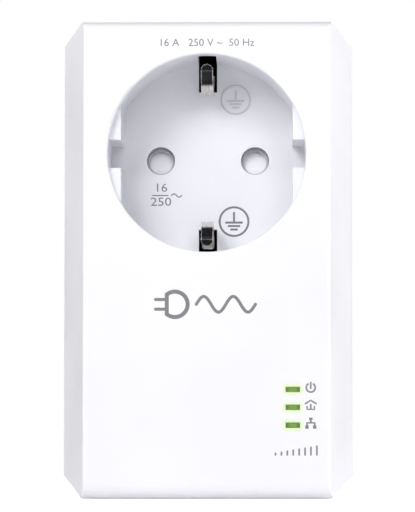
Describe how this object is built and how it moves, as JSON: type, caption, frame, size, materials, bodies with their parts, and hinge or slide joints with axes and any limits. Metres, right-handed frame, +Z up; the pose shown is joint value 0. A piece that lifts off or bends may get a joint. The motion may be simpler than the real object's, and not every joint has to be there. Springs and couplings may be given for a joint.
{
  "type": "powerline adapter",
  "caption": "Upright white plug-in network adapter with a round pass-through mains socket in front, status lights below it, and a round mains plug behind.",
  "frame": {"origin": "midway between the two plug pins, on the flat end face of the round plug boss", "axes": "+Z up along the housing's long side, +Y along the plug pins away from the housing, +X right as seen from the front, so the front faces -Y"},
  "size_m": [0.058, 0.078, 0.094],
  "materials": {
    "front_shell": "smooth white ABS",
    "rear_shell": "fine satin white ABS",
    "socket_well": "satin white plastic",
    "shutter": "smooth white plastic",
    "shutter_guide": "plain white plastic",
    "shutter_spring": "drawn spring wire",
    "earth_clip_top": "bright nickel-plated spring strip",
    "earth_clip_bottom": "bright nickel-plated spring strip",
    "line_contact": "plain phosphor bronze",
    "neutral_contact": "plain phosphor bronze",
    "contact_carrier": "black glass-filled nylon",
    "line_pin": "nickel-plated brass",
    "neutral_pin": "nickel-plated brass",
    "plug_earth_top": "nickel-plated strip",
    "plug_earth_bottom": "nickel-plated strip",
    "earth_pin_socket": "nickel-plated tube",
    "earth_strap": "nickel-plated strip",
    "main_board": "green solder mask on glass epoxy",
    "jack_shield": "tinned sheet",
    "jack_insert": "black nylon",
    "jack_contacts": "gold-flashed wire",
    "transformer_core": "ferrite",
    "transformer_winding": "yellow tape over copper",
    "safety_capacitor": "yellow film capacitor",
    "bulk_capacitor": "sleeved aluminium can",
    "output_capacitor": "sleeved aluminium can",
    "choke_core": "coated ferrite ring",
    "choke_base": "black nylon feet",
    "varistor": "blue epoxy disc",
    "mains_fuse": "black fuse body",
    "line_capacitors": "blue ceramic discs",
    "powerline_chip": "black epoxy package",
    "chip_heatsink": "plain aluminium",
    "crystal": "tinned can",
    "memory_chip": "black epoxy package",
    "network_transformer": "black epoxy package",
    "coupling_transformer": "black bobbin",
    "status_leds": "clear epoxy over a green die",
    "light_pipe": "clear green-lit acrylic",
    "line_lead": "brown PVC insulation",
    "neutral_lead": "blue PVC insulation",
    "switch_body": "black nylon",
    "switch_plunger": "black nylon",
    "pair_button": "smooth white ABS",
    "case_screws": "zinc-plated steel",
    "board_screws": "zinc-plated steel"
  },
  "bodies": {
    "housing": {"front_shell": "front_shell", "rear_shell": "rear_shell", "socket_well": "socket_well", "shutter_guide": "shutter_guide", "shutter_spring": "shutter_spring", "line_contact": "line_contact", "neutral_contact": "neutral_contact", "contact_carrier": "contact_carrier", "line_pin": "line_pin", "neutral_pin": "neutral_pin", "plug_earth_top": "plug_earth_top", "plug_earth_bottom": "plug_earth_bottom", "earth_pin_socket": "earth_pin_socket", "earth_strap": "earth_strap", "main_board": "main_board", "jack_shield": "jack_shield", "jack_insert": "jack_insert", "jack_contacts": "jack_contacts", "transformer_core": "transformer_core", "transformer_winding": "transformer_winding", "safety_capacitor": "safety_capacitor", "bulk_capacitor": "bulk_capacitor", "output_capacitor": "output_capacitor", "choke_core": "choke_core", "choke_base": "choke_base", "varistor": "varistor", "mains_fuse": "mains_fuse", "line_capacitors": "line_capacitors", "powerline_chip": "powerline_chip", "chip_heatsink": "chip_heatsink", "crystal": "crystal", "memory_chip": "memory_chip", "network_transformer": "network_transformer", "coupling_transformer": "coupling_transformer", "status_leds": "status_leds", "light_pipe": "light_pipe", "line_lead": "line_lead", "neutral_lead": "neutral_lead", "switch_body": "switch_body", "case_screws": "case_screws", "board_screws": "board_screws"},
    "shutter": {"shutter": "shutter"},
    "button": {"pair_button": "pair_button"},
    "switch": {"switch_plunger": "switch_plunger"},
    "clip_top": {"earth_clip_top": "earth_clip_top"},
    "clip_bottom": {"earth_clip_bottom": "earth_clip_bottom"}
  },
  "joints": [
    {"name": "shutter_slide", "type": "slide", "parent": "housing", "child": "shutter", "axis": [0, 0, -1], "range_m": [0, 0.0064], "stiffness_N_per_m": 40, "springref_m": -0.002, "deforming": ["shutter_spring"]},
    {"name": "button_press", "type": "slide", "parent": "housing", "child": "button", "axis": [0, 0, 1], "range_m": [0, 0.0005], "stiffness_N_per_m": 300, "springref_m": -0.0005},
    {"name": "plunger_press", "type": "slide", "parent": "housing", "child": "switch", "axis": [0, 0, 1], "range_m": [0, 0.0005]},
    {"name": "clip_top_flex", "type": "hinge", "parent": "housing", "child": "clip_top", "pos_m": [0, -0.0359, 0.01625], "axis": [-1, 0, 0], "range_deg": [0, 12], "stiffness_Nm_per_rad": 0.05, "springref_deg": -2.86},
    {"name": "clip_bottom_flex", "type": "hinge", "parent": "housing", "child": "clip_bottom", "pos_m": [0, -0.0359, -0.01625], "axis": [1, 0, 0], "range_deg": [0, 12], "stiffness_Nm_per_rad": 0.05, "springref_deg": -2.86}
  ],
  "couplings": [
    {"joint": "plunger_press", "follows": "button_press", "ratio": 1}
  ]
}
